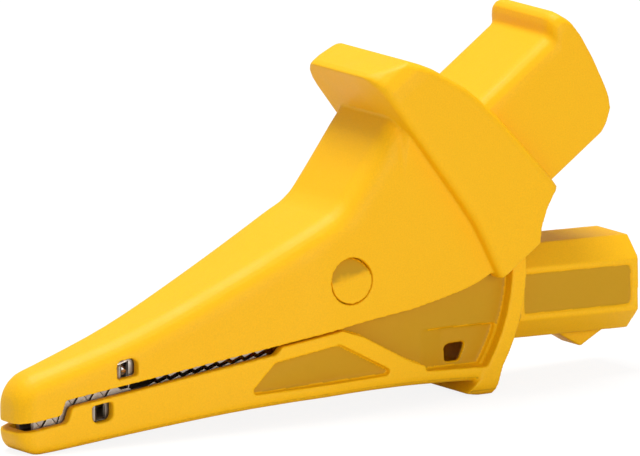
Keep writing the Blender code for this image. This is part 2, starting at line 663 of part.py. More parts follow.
def teeth(shift, start, end):
    """The toothed edge of an insert, from its nose to its rear, moved up or down by shift."""
    hole_front = WIRE_HOLE_X - WIRE_HOLE_LENGTH / 2
    hole_rear = WIRE_HOLE_X + WIRE_HOLE_LENGTH / 2
    half = TOOTH_DEPTH / 2
    x = NOSE_STEP_X - math.floor((NOSE_STEP_X - start) / FRONT_PITCH) * FRONT_PITCH
    edge = []
    while x < end - REAR_PITCH:
        pitch = FRONT_PITCH if x < hole_front else REAR_PITCH
        if hole_front - pitch / 2 <= x < hole_rear:
            front_z = tooth_line(hole_front)
            rear_z = tooth_line(hole_rear)
            notch = math.copysign(half + 0.3, shift)
            edge += [(hole_front, front_z + shift), (hole_front + 0.8, front_z + notch),
                     (hole_rear - 0.8, rear_z + notch), (hole_rear, rear_z + shift)]
            x = hole_rear + REAR_PITCH / 4
            continue
        if start < x:
            edge.append((x, tooth_line(x) + half + shift))
        if start < x + pitch / 2:
            edge.append((x + pitch / 2, tooth_line(x + pitch / 2) - half + shift))
        x += pitch
    return edge


def tapered(name, outline, left, right, parent, finish=None):
    """A solid with this (x, z) outline between two insets from the tapering cheek planes.

    A left or right inset is measured inwards from that side's own cheek.
    """
    sections = [[(x, right - straight_half(x), z) for x, z in outline],
                [(x, straight_half(x) - left, z) for x, z in outline]]
    return loft(name, sections, parent, finish)


def channel(name, outline, hollow, parent, finish):
    """A folded sheet channel that tapers with the casing: a side outline less its hollow."""
    outside = WALL + GAP
    inside = outside + SHEET
    made = tapered(name, outline, outside, outside, parent, finish)
    combine(made, tapered(name + "_hollow", hollow, inside, inside, parent), "DIFFERENCE")
    return made


def barbs(made, name, x, z, parent):
    """Small barbs bent out of the channel's sides, which hold it in the windows."""
    half = cheek_half(x) - WALL - GAP
    root = half - SHEET / 2
    point = half + 1.0
    wedge = [(x - 0.8, root), (x - 0.8, point), (x - 0.2, point), (x + 0.9, root)]
    for side in (-1, 1):
        sections = [[(px, side * y, level) for px, y in wedge] for level in (z - 0.55, z + 0.55)]
        combine(made, loft(name + ("_left" if side < 0 else "_right"), sections, parent), "UNION")


def jaw_inserts(lower_parent, upper_parent, finish):
    """Two plated steel channels whose teeth mesh when the jaws close."""
    start = -TIP_REACH + INSERT_FRONT + GAP
    end = INSERT_END_X
    clear = GAP / math.cos(math.atan(2 * TOOTH_DEPTH / FRONT_PITCH)) / 2

    def roof(x):
        under_roof = height_on(UPPER_TOP, x) - nose_drop(x) - ROOF * top_stretch(x) - GAP
        return min(under_roof, tooth_line(x) + INSERT_SIDE)

    def web(x):
        return height_on(BELLY, x) + CHIN_LIFT * nose_drop(x) + WALL + GAP

    shares = (0.0, 0.02, 0.07, 0.12, 0.2, 0.3, 0.45, 0.6, 0.8, 1.0)
    spans = [start + (end - start) * share for share in shares]
    upper_edge = teeth(clear, start, end)
    upper_line = [(start, tooth_line(start) + 1.0)] + upper_edge + [(end, tooth_line(end) + 1.0)]
    upper_back = [(x, roof(x)) for x in reversed(spans)]
    hollow = [(start - 5.0, -BEYOND), (end + 5.0, -BEYOND), (end + 5.0, roof(end) - SHEET)]
    hollow += [(x, roof(x) - SHEET) for x in reversed(spans)] + [(start - 5.0, roof(start) - SHEET)]
    upper = channel("upper_jaw_insert", upper_line + upper_back, hollow, upper_parent, finish)
    barb_z = parting(UPPER_WINDOW_X) + UPPER_WINDOW_RISE
    barbs(upper, "upper_barb", UPPER_WINDOW_X - 0.4, barb_z, upper_parent)

    lower_edge = teeth(-clear, start, end)
    lower_line = [(start, tooth_line(start) - 0.9)] + lower_edge + [(end, tooth_line(end) - 1.0)]
    lower_back = [(x, web(x)) for x in reversed(spans)]
    hollow = [(start - 5.0, BEYOND), (start - 5.0, web(start) + SHEET)]
    hollow += [(x, web(x) + SHEET) for x in spans] + [(end + 5.0, web(end) + SHEET), (end + 5.0, BEYOND)]
    lower = channel("lower_jaw_insert", lower_line + lower_back, hollow, lower_parent, finish)
    barb_z = parting(LOWER_WINDOW_X) - PART_GAP - LOWER_WINDOW_DROP
    barbs(lower, "lower_barb", LOWER_WINDOW_X - 0.4, barb_z, lower_parent)
    return upper, lower


def socket(parent, metal, plastic):
    """The 4 mm contact tube and the sleeve that insulates it and centres it in the barrel."""
    front = SOCKET_REACH - SLEEVE_SETBACK
    bore = CONTACT_BORE / 2
    outside = bore + CONTACT_WALL
    start = SOCKET_START + GAP
    tail = bore - 0.2
    contact = [(start - 4.0, 0.0), (start - 4.0, tail), (start + 0.5, tail), (start + 0.5, outside),
               (front - 0.5, outside), (front - 0.5, bore), (start + 2.0, bore), (start + 2.0, 0.0)]
    turned("socket_contact", contact, -BARREL_DROP, parent, metal)
    inside = outside + GAP
    skin = inside + SLEEVE_WALL
    collar = SOCKET_BORE / 2 - GAP
    sleeve = [(start + 0.6, inside), (start + 0.6, collar), (start + 0.6 + COLLAR_LENGTH, collar),
              (start + 0.6 + COLLAR_LENGTH, skin), (front, skin), (front, inside)]
    turned("socket_sleeve", sleeve, -BARREL_DROP, parent, plastic)


def strap(parent, finish):
    """The strip that joins the lower insert to the socket contact, folded from one piece."""
    front = [INSERT_END_X - 4.0, INSERT_END_X + 0.6]
    on_web = [(x, height_on(BELLY, x) + WALL + GAP + SHEET + GAP) for x in front]
    floor = height_on(BELLY, 0.0) + WALL + GAP
    rise_x = SHIELD_INNER - 6.5
    end_x = SHIELD_INNER - 1.9 - GAP
    tail = -BARREL_DROP - CONTACT_BORE / 2 + 0.2 - GAP
    path = on_web + [(INSERT_END_X + 3.0, floor), (rise_x - 5.0, floor), (rise_x, tail - STRAP_THICK),
                     (end_x, tail - STRAP_THICK)]
    outline = path + [(x, z + STRAP_THICK) for x, z in reversed(path)]
    return prism("contact_strap", outline, -STRAP_HALF, STRAP_HALF, parent, finish)


def spring(parent, finish):
    """The torsion spring: four turns round the pivot and a leg into each half."""
    neck_foot = neck_front[3]
    upper_slope = math.degrees(math.atan2(neck_end[1] - neck_foot[1], neck_end[0] - neck_foot[0]))
    first = math.radians(LOWER_LEG_SLOPE - 90.0)
    last = math.radians(upper_slope + 90.0 - 360.0 * (COIL_TURNS + 1))
    width = COIL_PITCH * (first - last) / (2 * math.pi)
    leg_end = height_on(BELLY, 10.0) + WALL + GAP + WIRE / 2
    lower_leg = (COIL_RADIUS * math.sin(first) - leg_end) / -math.sin(math.radians(LOWER_LEG_SLOPE))
    points = []
    steps = 16 * COIL_TURNS
    for step in range(steps + 1):
        share = step / steps
        turn = first + (last - first) * share
        points.append((COIL_RADIUS * math.cos(turn), width * (share - 0.5), COIL_RADIUS * math.sin(turn)))
    slope = math.radians(LOWER_LEG_SLOPE)
    x, y, z = points[0]
    points.insert(0, (x + lower_leg * math.cos(slope), y, z + lower_leg * math.sin(slope)))
    slope = math.radians(upper_slope)
    x, y, z = points[-1]
    points.append((x + UPPER_LEG_LENGTH * math.cos(slope), y, z + UPPER_LEG_LENGTH * math.sin(slope)))
    curve = bpy.data.curves.new("torsion_spring", "CURVE")
    curve.dimensions = "3D"
    curve.bevel_depth = WIRE / 2 * MM
    curve.bevel_resolution = 2
    curve.use_fill_caps = True
    line = curve.splines.new("POLY")
    line.points.add(len(points) - 1)
    for place, point in zip(line.points, points):
        place.co = (*(Vector(point) * MM), 1.0)
    made = bpy.data.objects.new("torsion_spring", curve)
    bpy.context.scene.collection.objects.link(made)
    made.parent = parent
    curve.materials.append(finish)
    return made


def bush(parent, finish):
    """The tube that the spring winds round, carried on bosses of the lower half."""
    half = CHEEK_HALF - WALL - GAP - LUG_WALL - GAP
    outer = COIL_RADIUS - WIRE / 2 - GAP
    made = disc("spring_bush", 0.0, 0.0, outer, -half, half, parent, 28)
    made.data.materials.append(finish)
    combine(made, disc("bush_bore", 0.0, 0.0, outer - BUSH_WALL, -BEYOND, BEYOND, parent, 28), "DIFFERENCE")
    return made


def empty(name, parent=None):
    """A frame that pieces hang from."""
    made = bpy.data.objects.new(name, None)
    bpy.context.scene.collection.objects.link(made)
    made.parent = parent
    return made


def stand_on_ground(frame, pieces):
    """Lay the closed clip on its belly and foot, over the middle of its own outline."""
    frame.rotation_euler = (0.0, GROUND_SLOPE, 0.0)
    bpy.context.view_layer.update()
    depsgraph = bpy.context.evaluated_depsgraph_get()
    corners = []
    for piece in pieces:
        seen = piece.evaluated_get(depsgraph)
        mesh = seen.to_mesh()
        corners += [seen.matrix_world @ vertex.co for vertex in mesh.vertices]
        seen.to_mesh_clear()
    middle = [(min(c[i] for c in corners) + max(c[i] for c in corners)) / 2 for i in range(2)]
    frame.location = (-middle[0], -middle[1], -min(c.z for c in corners))
    bpy.context.view_layer.update()


def smooth_shading(pieces):
    """Shade round faces smooth and keep the real edges."""
    for piece in pieces:
        if piece.type == "MESH":
            piece.data.shade_smooth()
            piece.data.set_sharp_from_angle(angle=math.radians(32.0))


def build_clip():
    """Every piece of the clip, in its place."""
    for old in list(bpy.data.objects):
        bpy.data.objects.remove(old)
    yellow = material("yellow_polyamide", (0.93, 0.49, 0.02), 0.45, 0.0)
    steel = material("nickel_plated_steel", (0.66, 0.65, 0.62), 0.28, 1.0)
    brass = material("nickel_plated_brass", (0.74, 0.70, 0.60), 0.25, 1.0)
    black = material("black_polyamide", (0.02, 0.02, 0.02), 0.5, 0.0)
    wire = material("spring_steel", (0.42, 0.42, 0.43), 0.35, 1.0)
    frame = empty("clip_frame")
    hinge = empty("jaw_hinge", frame)
    pieces = [lower_casing(frame, yellow), upper_casing(hinge, yellow)]
    pieces += jaw_inserts(frame, hinge, steel)
    socket(frame, brass, black)
    strap(frame, brass)
    spring(frame, wire)
    pieces.append(bush(frame, steel))
    smooth_shading(pieces)
    solids = [made for made in bpy.data.objects if made.type != "EMPTY" and not made.hide_render]
    stand_on_ground(frame, solids)


build_clip()
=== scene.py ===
"""Insulated safety crocodile clip: the looks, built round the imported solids.

The pieces are laid out in the clip's own frame, in millimetres: its origin is on the pivot axis, x runs
along the socket barrel, z is up and y goes across. CLIP_FRAME takes them to the model's frame in metres.
"""
import json
import math

import bmesh
import bpy
from mathutils import Matrix, Vector


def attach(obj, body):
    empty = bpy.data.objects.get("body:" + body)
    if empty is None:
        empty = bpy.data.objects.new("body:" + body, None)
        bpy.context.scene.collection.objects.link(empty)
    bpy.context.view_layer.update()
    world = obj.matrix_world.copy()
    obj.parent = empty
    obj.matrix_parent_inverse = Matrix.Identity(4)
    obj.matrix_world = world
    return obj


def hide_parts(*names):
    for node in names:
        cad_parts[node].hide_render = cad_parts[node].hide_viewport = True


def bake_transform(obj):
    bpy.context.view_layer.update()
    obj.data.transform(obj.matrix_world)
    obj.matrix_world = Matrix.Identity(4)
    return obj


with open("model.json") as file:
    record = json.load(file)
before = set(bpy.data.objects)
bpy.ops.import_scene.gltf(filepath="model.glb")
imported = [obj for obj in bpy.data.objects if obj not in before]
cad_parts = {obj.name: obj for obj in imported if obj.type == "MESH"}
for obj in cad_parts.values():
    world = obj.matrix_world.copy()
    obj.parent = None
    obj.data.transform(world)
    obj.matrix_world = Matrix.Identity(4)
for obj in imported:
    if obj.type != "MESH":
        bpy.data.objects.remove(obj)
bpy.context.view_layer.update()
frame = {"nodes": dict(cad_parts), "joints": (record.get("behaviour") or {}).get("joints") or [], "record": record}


# Where the clip stands. The pivot comes from the hinge and the lean from the barrel's axis, because the
# closed clip rests on its belly and its shield, a little nose up.
MM = 0.001
PIVOT = Vector(frame["joints"][0]["pos_m"])
BARREL_AXIS = next(m["axis"] for m in frame["record"]["mounts"] if m["name"] == "socket_end")
LEAN = math.atan2(-BARREL_AXIS[2], BARREL_AXIS[0])
CLIP_FRAME = Matrix.Translation(PIVOT) @ Matrix.Rotation(LEAN, 4, "Y") @ Matrix.Scale(MM, 4)


# The camera looks from the jaws' side, a little above the bench. The lens is long, so that the picture has
# hardly any perspective, but short enough to keep other views of the clip within their far limit.
VIEW_ANGLE = math.radians(30.0)
VIEW_HEIGHT = math.radians(9.5)
PIXELS_PER_MM = 7.42
PICTURE = (640, 456)
PIVOT_PIXEL = (318.9, 271.8)
LENS = 1180.0
SENSOR = 36.0
to_camera = Vector((-math.sin(VIEW_ANGLE) * math.cos(VIEW_HEIGHT),
                    -math.cos(VIEW_ANGLE) * math.cos(VIEW_HEIGHT), math.sin(VIEW_HEIGHT)))
to_right = Vector((math.cos(VIEW_ANGLE), -math.sin(VIEW_ANGLE), 0.0))
to_top = to_camera.cross(to_right)
offset_right = (PICTURE[0] / 2 - PIVOT_PIXEL[0]) / PIXELS_PER_MM
offset_up = (PIVOT_PIXEL[1] - PICTURE[1] / 2) / PIXELS_PER_MM
distance = PICTURE[0] / PIXELS_PER_MM * LENS / SENSOR
eye = to_right * offset_right + to_top * offset_up + to_camera * distance
lens_data = bpy.data.cameras.new("camera")
lens_data.lens = LENS
lens_data.sensor_width = SENSOR
lens_data.clip_start = 0.1
lens_data.clip_end = 100.0
camera = bpy.data.objects.new("camera", lens_data)
turn = Matrix((to_right, to_top, to_camera)).transposed().to_4x4()
camera.matrix_world = (Matrix.Translation(CLIP_FRAME @ eye)
                       @ Matrix.Rotation(LEAN, 4, "Y") @ turn)
bpy.context.scene.collection.objects.link(camera)
bpy.context.scene.camera = camera
bpy.context.scene.view_settings.view_transform = "Standard"


# The two casings are injection moulded in yellow polyamide. The mould is spark eroded, which leaves a fine
# even grain, and every outer edge comes out of it a little soft.
GRAIN = 0.00022
MOTTLE = 0.006
RIPPLE = 0.0009
GRAIN_DEPTH = 0.00002
SKIN_GLOW = (0.8, 0.4, 0.05)
SKIN_DEPTH = 0.0012
YELLOW = (0.93, 0.485, 0.0)
# Painted shade: the colour of the casing's recessed walls is multiplied by this.
RECESS_SHADE_DEPTH = 0.6
CASING_VOXEL = 0.2
CASING_SOFTENING = 4
CASING_TRIANGLES = 180000
CHEEK_HALF = 9.0
TAPER_START = -4.0
TAPER_LENGTH = 41.0
TAPER = 4.8
BARREL_START = 27.5
BARREL_HALF = 6.9
NOSE_END = -40.0
RECESS_LIMIT = 3.0
RECESS_EDGE = 0.15
BACKING_SIZE = (3.4, 0.7, 2.4)
BACKING_PLACES = [(-7.3, side * 6.85, -13.1) for side in (-1, 1)]


def finish(name, colour, roughness, metallic=0.0):
    """A material with its Principled shader, and the piece's own coordinates in metres."""
    made = bpy.data.materials.new(name)
    made.use_nodes = True
    tree = made.node_tree
    shader = tree.nodes["Principled BSDF"]
    shader.inputs["Base Color"].default_value = (*colour, 1.0)
    shader.inputs["Roughness"].default_value = roughness
    shader.inputs["Metallic"].default_value = metallic
    place = tree.nodes.new("ShaderNodeTexCoord").outputs["Object"]
    return made, tree, shader, place


def noise(tree, place, size, detail=2.0, roughness=0.5):
    """Noise whose lumps are about this many metres across."""
    made = tree.nodes.new("ShaderNodeTexNoise")
    tree.links.new(place, made.inputs["Vector"])
    made.inputs["Scale"].default_value = 1.0 / size
    made.inputs["Detail"].default_value = detail
    made.inputs["Roughness"].default_value = roughness
    return made.outputs["Fac"]


def spread(tree, value, low, high):
    """Noise brought from its middle range to low..high."""
    made = tree.nodes.new("ShaderNodeMapRange")
    made.inputs["From Min"].default_value = 0.3
    made.inputs["From Max"].default_value = 0.7
    made.inputs["To Min"].default_value = low
    made.inputs["To Max"].default_value = high
    tree.links.new(value, made.inputs["Value"])
    return made.outputs["Result"]


def tint(tree, value, dark, light):
    """A colour between dark and light by a value from 0 to 1."""
    made = tree.nodes.new("ShaderNodeMix")
    made.data_type = "RGBA"
    made.inputs["A"].default_value = (*dark, 1.0)
    made.inputs["B"].default_value = (*light, 1.0)
    tree.links.new(value, made.inputs["Factor"])
    return made.outputs["Result"]


def bump(tree, shader, heights):
    """Bumps one over the other, each a (value, depth in metres) pair, into a shader."""
    before = None
    for value, depth in heights:
        made = tree.nodes.new("ShaderNodeBump")
        made.inputs["Distance"].default_value = depth
        tree.links.new(value, made.inputs["Height"])
        if before:
            tree.links.new(before, made.inputs["Normal"])
        before = made.outputs["Normal"]
    tree.links.new(before, shader.inputs["Normal"])


def grained_polyamide(name, colour, speckle, softness):
    """Moulded polyamide with fine grain, slight mottling and a dull sheen, darkened as painted shade on recessed
    walls.
    """
    made, tree, shader, place = finish(name, colour, 0.5)
    grain = noise(tree, place, GRAIN, 3.0, 0.6)
    mottle = noise(tree, place, MOTTLE, 3.0)
    dark = tuple(c * (1.0 - speckle) for c in colour)
    light = tuple(min(1.0, c * (1.0 + speckle)) for c in colour)
    # Painted shade: walls marked on the mesh as recessed take a darker copy of the colour.
    shade_mix = tree.nodes.new("ShaderNodeMix")
    shade_mix.data_type = "RGBA"
    recess_shade = tree.nodes.new("ShaderNodeAttribute")
    recess_shade.attribute_name = "recess_shade"
    tree.links.new(recess_shade.outputs["Fac"], shade_mix.inputs["Factor"])
    tree.links.new(tint(tree, spread(tree, grain, 0.0, 1.0), dark, light), shade_mix.inputs["A"])
    shade_mix.inputs["B"].default_value = (*(c * RECESS_SHADE_DEPTH for c in colour), 1.0)
    tree.links.new(shade_mix.outputs["Result"], shader.inputs["Base Color"])
    tree.links.new(spread(tree, mottle, 0.47, 0.56), shader.inputs["Roughness"])
    bump(tree, shader, [(grain, GRAIN_DEPTH), (noise(tree, place, RIPPLE), GRAIN_DEPTH)])
    shader.inputs["Specular IOR Level"].default_value = 0.25
    shader.inputs["Subsurface Weight"].default_value = softness
    shader.inputs["Subsurface Radius"].default_value = SKIN_GLOW
    shader.inputs["Subsurface Scale"].default_value = SKIN_DEPTH
    return made


def settled(source, name, finish_material):
    """The evaluated mesh of an object as a plain new object, which takes the place of the first."""
    depsgraph = bpy.context.evaluated_depsgraph_get()
    mesh = bpy.data.meshes.new_from_object(source.evaluated_get(depsgraph), depsgraph=depsgraph)
    bpy.data.objects.remove(source)
    mesh.name = name
    mesh.materials.clear()
    mesh.materials.append(finish_material)
    made = bpy.data.objects.new(name, mesh)
    bpy.context.scene.collection.objects.link(made)
    mesh.shade_smooth()
    return made


def softened(cad_node, name, finish_material, backings=()):
    """A copy of a CAD node with the soft edges that the mould leaves, and blocks behind its thin walls."""
    source = frame["nodes"][cad_node]
    mesh = source.data.copy()
    build = bmesh.new()
    build.from_mesh(mesh)
    bmesh.ops.remove_doubles(build, verts=build.verts, dist=1e-6)
    for middle, size in backings:
        place = CLIP_FRAME @ Matrix.Translation(middle) @ Matrix.Diagonal((*size, 1.0))
        bmesh.ops.create_cube(build, size=1.0, matrix=place)
    build.to_mesh(mesh)
    build.free()
    copy = bpy.data.objects.new(name + "_rough", mesh)
    bpy.context.scene.collection.objects.link(copy)
    skin = copy.modifiers.new("skin", "REMESH")
    skin.mode = "VOXEL"
    skin.voxel_size = CASING_VOXEL * MM
    soft = copy.modifiers.new("soft", "SMOOTH")
    soft.factor = 0.5
    soft.iterations = CASING_SOFTENING
    full = settled(copy, name + "_full", finish_material)
    count = sum(len(face.vertices) - 2 for face in full.data.polygons)
    if count > CASING_TRIANGLES:
        fewer = full.modifiers.new("fewer", "DECIMATE")
        fewer.ratio = CASING_TRIANGLES / count
    return settled(full, name, finish_material)


def paint_recess_shade(casing):
    """Mark the walls that stand back from the casing's cheeks and flanks, which get a darker colour as painted
    shade.
    """
    to_clip = CLIP_FRAME.inverted()
    marks = casing.data.attributes.new("recess_shade", "FLOAT", "POINT")
    values = []
    for vertex in casing.data.vertices:
        place = to_clip @ vertex.co
        taper = min(1.0, max(0.0, (TAPER_START - place.x) / TAPER_LENGTH))
        outer = BARREL_HALF if place.x > BARREL_START else CHEEK_HALF - TAPER * taper
        back = outer - abs(place.y)
        outward = abs(vertex.normal.y) > 0.8 and vertex.normal.y * place.y > 0
        on_wall = outward and back < RECESS_LIMIT and place.x > NOSE_END
        values.append(min(1.0, max(0.0, (back - RECESS_EDGE) / RECESS_EDGE)) if on_wall else 0.0)
    marks.data.foreach_set("value", values)


yellow = grained_polyamide("yellow_polyamide_grained", YELLOW, 0.05, 0.08)
lower_casing = softened("lower_casing", "lower_moulding", yellow,
                        [(middle, BACKING_SIZE) for middle in BACKING_PLACES])
# The lower casing's recessed walls are marked for painted shade.
paint_recess_shade(lower_casing)
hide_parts("lower_casing")
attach(lower_casing, "lower")
upper_casing = softened("upper_casing", "upper_moulding", yellow)
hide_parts("upper_casing")
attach(upper_casing, "upper")


# The jaws' inserts are pressed from steel sheet and nickel plated: a channel whose two side edges are cut
# into teeth. The teeth of both inserts mesh when the clip is closed, and a notch in each takes a wire.
FIRST_TOOTH = -45.6
FRONT_PITCH = 2.3
REAR_PITCH = 1.8
FRONT_COLUMNS = 12
COLUMNS = 35
TOOTH_DEPTH = 1.7
REAR_DEPTH = 0.4
LINE_HEIGHT = -6.705
LINE_SLOPE = 0.172
STEP_PLACE = -41.9
NOSE_STEP = 2.0
SHEET = 0.8
SHEET_EDGE = 0.12
CHEEK_WALL = 1.8
INSERT_SIDE = 4.8
BEND_RADIUS = 1.0
TOOTH_CLEARANCE = 0.12
REAR_LEAN = 0.22
NOTCH_FIRST = 10.5
NOTCH_LAST = 15.5
ROWS = 21
WEB_PART = 0.4
BEND_PART = 0.3
BARB_LENGTH = 0.9
BARB_RISE = 0.8


def socket_of(tree, name):
    """The identifier of a tree's input by its name."""
    return next(item.identifier for item in tree.interface.items_tree
                if item.name == name and item.in_out == "INPUT")


def new_tree(name, sizes):
    """A geometry tree with one named input for each size, and a maths shorthand."""
    tree = bpy.data.node_groups.new(name, "GeometryNodeTree")
    tree.interface.new_socket("Geometry", in_out="OUTPUT", socket_type="NodeSocketGeometry")
    for size in sizes:
        kind = "NodeSocketInt" if size.endswith("Count") else "NodeSocketFloat"
        tree.interface.new_socket(size, in_out="INPUT", socket_type=kind)
    tree.interface.new_socket("Finish", in_out="INPUT", socket_type="NodeSocketMaterial")
    given = tree.nodes.new("NodeGroupInput").outputs

    def maths(operation, *values, clamp=False):
        """One sum in the tree, from numbers or from other sums."""
        made = tree.nodes.new("ShaderNodeMath")
        made.operation = operation
        made.use_clamp = clamp
        for slot, value in zip(made.inputs, values):
            if isinstance(value, (int, float)):
                slot.default_value = value
            else:
                tree.links.new(value, slot)
        return made.outputs[0]

    return tree, given, maths


def close_tree(tree, given, geometry):
    """End a tree in Realize Instances and Set Material."""
    real = tree.nodes.new("GeometryNodeRealizeInstances")
    painted = tree.nodes.new("GeometryNodeSetMaterial")
    out = tree.nodes.new("NodeGroupOutput")
    tree.links.new(geometry, real.inputs[0])
    tree.links.new(real.outputs[0], painted.inputs["Geometry"])
    tree.links.new(given["Finish"], painted.inputs["Material"])
    tree.links.new(painted.outputs[0], out.inputs[0])


def grown(name, tree, sizes, finish_material):
    """The plain mesh that a tree makes from these sizes."""
    seed = bpy.data.objects.new(name + "_seed", bpy.data.meshes.new(name + "_seed"))
    bpy.context.scene.collection.objects.link(seed)
    step = seed.modifiers.new("tree", "NODES")
    step.node_group = tree
    for size, value in sizes.items():
        step[socket_of(tree, size)] = value
    step[socket_of(tree, "Finish")] = finish_material
    return settled(seed, name, finish_material)


def toothed_channel_tree():
    """A U-shaped sheet with a zigzag along both free edges, as a grid bent into place.

    Columns run along the clip, two to a tooth. Rows run across: from one free edge down a side, round a
    bend, across the web and up the other side.
    """
    sizes = ("Columns Count", "Rows Count", "First Tooth", "Front Columns", "Front Pitch", "Rear Pitch",
             "Line Height", "Line Slope", "Step Place", "Step", "Tooth Depth", "Rear Depth", "Clearance",
             "Rear Clearance", "Shift", "Lean", "Side", "Notch First", "Notch Last", "Notch Depth",
             "Notch Tooth", "Web Reach", "Web Height", "Web Slope", "Half Width", "Taper", "Taper Start",
             "Taper Length", "Bend Radius")
    tree, given, maths = new_tree("toothed_channel", sizes)
    grid = tree.nodes.new("GeometryNodeMeshGrid")
    grid.inputs["Size X"].default_value = 1.0
    grid.inputs["Size Y"].default_value = 2.0
    tree.links.new(given["Columns Count"], grid.inputs["Vertices X"])
    tree.links.new(given["Rows Count"], grid.inputs["Vertices Y"])
    place = tree.nodes.new("ShaderNodeSeparateXYZ")
    tree.links.new(tree.nodes.new("GeometryNodeInputPosition").outputs[0], place.inputs[0])
    last = maths("SUBTRACT", given["Columns Count"], 1.0)
    column = maths("ROUND", maths("MULTIPLY", maths("ADD", place.outputs["X"], 0.5), last))
    in_front = maths("MINIMUM", column, given["Front Columns"])
    behind = maths("SUBTRACT", column, in_front)
    half_pitch = maths("MULTIPLY", given["Front Pitch"], 0.5)
    x = maths("ADD", given["First Tooth"], maths("MULTIPLY", in_front, half_pitch))
    x = maths("ADD", x, maths("MULTIPLY", behind, maths("MULTIPLY", given["Rear Pitch"], 0.5)))
    zigzag = maths("COSINE", maths("MULTIPLY", column, math.pi))
    at_rear = maths("GREATER_THAN", behind, 0.5)
    x = maths("ADD", x, maths("MULTIPLY", maths("MULTIPLY", zigzag, given["Lean"]), at_rear))
    x = maths("ADD", x, maths("MULTIPLY", given["Shift"], maths("SUBTRACT", 1.0, at_rear)))
    line = maths("ADD", given["Line Height"], maths("MULTIPLY", given["Line Slope"], x))
    in_nose = maths("LESS_THAN", x, given["Step Place"])
    stepped = maths("SUBTRACT", line, maths("MULTIPLY", given["Step"], in_nose))
    alone = maths("COMPARE", column, given["Notch Tooth"], 0.5)
    notched = maths("MULTIPLY", maths("GREATER_THAN", column, given["Notch First"]),
                    maths("LESS_THAN", column, given["Notch Last"]))
    notched = maths("MULTIPLY", notched, maths("SUBTRACT", 1.0, alone))
    way = maths("SUBTRACT", zigzag, maths("MULTIPLY", alone, 2.0))
    deeper = maths("SUBTRACT", given["Tooth Depth"], given["Rear Depth"])
    depth = maths("SUBTRACT", given["Tooth Depth"], maths("MULTIPLY", deeper, at_rear))
    kept = maths("SUBTRACT", 0.5, maths("MULTIPLY", 0.5, notched))
    tooth = maths("MULTIPLY", maths("MULTIPLY", way, depth), kept)
    further = maths("SUBTRACT", given["Rear Clearance"], given["Clearance"])
    away = maths("ADD", given["Clearance"], maths("MULTIPLY", further, at_rear))
    away = maths("ADD", away, maths("MULTIPLY", notched, given["Notch Depth"]))
    edge = maths("ADD", maths("ADD", stepped, tooth), maths("MULTIPLY", away, given["Side"]))
    reach = maths("ADD", maths("MULTIPLY", line, given["Side"]), given["Web Reach"])
    limit = maths("ADD", given["Web Height"], maths("MULTIPLY", given["Web Slope"], x))
    web = maths("MINIMUM", reach, maths("MULTIPLY", limit, given["Side"]))
    web = maths("MULTIPLY", web, given["Side"])
    narrowing = maths("DIVIDE", maths("SUBTRACT", given["Taper Start"], x), given["Taper Length"], clamp=True)
    half = maths("SUBTRACT", given["Half Width"], maths("MULTIPLY", given["Taper"], narrowing))

    across = maths("ABSOLUTE", place.outputs["Y"])
    on_web = maths("DIVIDE", across, WEB_PART, clamp=True)
    bend = maths("DIVIDE", maths("SUBTRACT", across, WEB_PART), BEND_PART, clamp=True)
    bend = maths("MULTIPLY", bend, math.pi / 2)
    side_start = WEB_PART + BEND_PART
    on_side = maths("DIVIDE", maths("SUBTRACT", across, side_start), 1.0 - side_start, clamp=True)
    radius = given["Bend Radius"]
    y = maths("MULTIPLY", maths("SUBTRACT", half, radius), on_web)
    y = maths("MULTIPLY", maths("ADD", y, maths("MULTIPLY", radius, maths("SINE", bend))),
              maths("SIGN", place.outputs["Y"]))
    fall = maths("MULTIPLY", radius, maths("SUBTRACT", 1.0, maths("COSINE", bend)))
    fall = maths("MULTIPLY", fall, given["Side"])
    z = maths("SUBTRACT", web, fall)
    z = maths("ADD", z, maths("MULTIPLY", on_side, maths("SUBTRACT", edge, z)))
    point = tree.nodes.new("ShaderNodeCombineXYZ")
    for axis, value in zip("XYZ", (x, y, z)):
        tree.links.new(value, point.inputs[axis])
    moved = tree.nodes.new("GeometryNodeSetPosition")
    tree.links.new(grid.outputs["Mesh"], moved.inputs["Geometry"])
    tree.links.new(point.outputs[0], moved.inputs["Position"])
    close_tree(tree, given, moved.outputs[0])
    return tree


def plated(name, colour, roughness, grain):
    """Nickel plate over rolled or turned metal: streaks along one way, with a slight stain."""
    made, tree, shader, place = finish(name, colour, roughness, 1.0)
    stretch = tree.nodes.new("ShaderNodeMapping")
    stretch.inputs["Scale"].default_value = grain
    tree.links.new(place, stretch.inputs["Vector"])
    streaks = noise(tree, stretch.outputs[0], 0.0002, 3.0)
    stain = noise(tree, place, 0.004, 3.0)
    dull = tuple(c * 0.82 for c in colour)
    tree.links.new(tint(tree, spread(tree, stain, 0.0, 1.0), dull, colour), shader.inputs["Base Color"])
    tree.links.new(spread(tree, streaks, roughness - 0.06, roughness + 0.1), shader.inputs["Roughness"])
    bump(tree, shader, [(streaks, 0.000006)])
    return made


def broken(piece, edge):
    """Break a piece's sharp edges with a small rounding, and light it by its large faces."""
    rim = piece.modifiers.new("rim", "BEVEL")
    rim.width = edge
    rim.segments = 2
    rim.limit_method = "ANGLE"
    rim.angle_limit = math.radians(40.0)
    lit = piece.modifiers.new("lit", "WEIGHTED_NORMAL")
    lit.keep_sharp = True


def rimmed(piece, name, finish_material, thickness, edge):
    """Give a sheet its thickness on the inside, and break its edges."""
    wall = next(face for face in piece.data.polygons if abs(face.normal.y) > 0.9)
    outward = wall.normal.y * wall.center.y > 0
    sheet = piece.modifiers.new("sheet", "SOLIDIFY")
    sheet.thickness = thickness
    sheet.offset = -1.0 if outward else 1.0
    sheet.use_even_offset = True
    broken(piece, edge)
    return settled(piece, name, finish_material)


def placed(piece):
    """Take a finished mesh from the clip's frame to the model's."""
    piece.data.transform(CLIP_FRAME)
    return piece


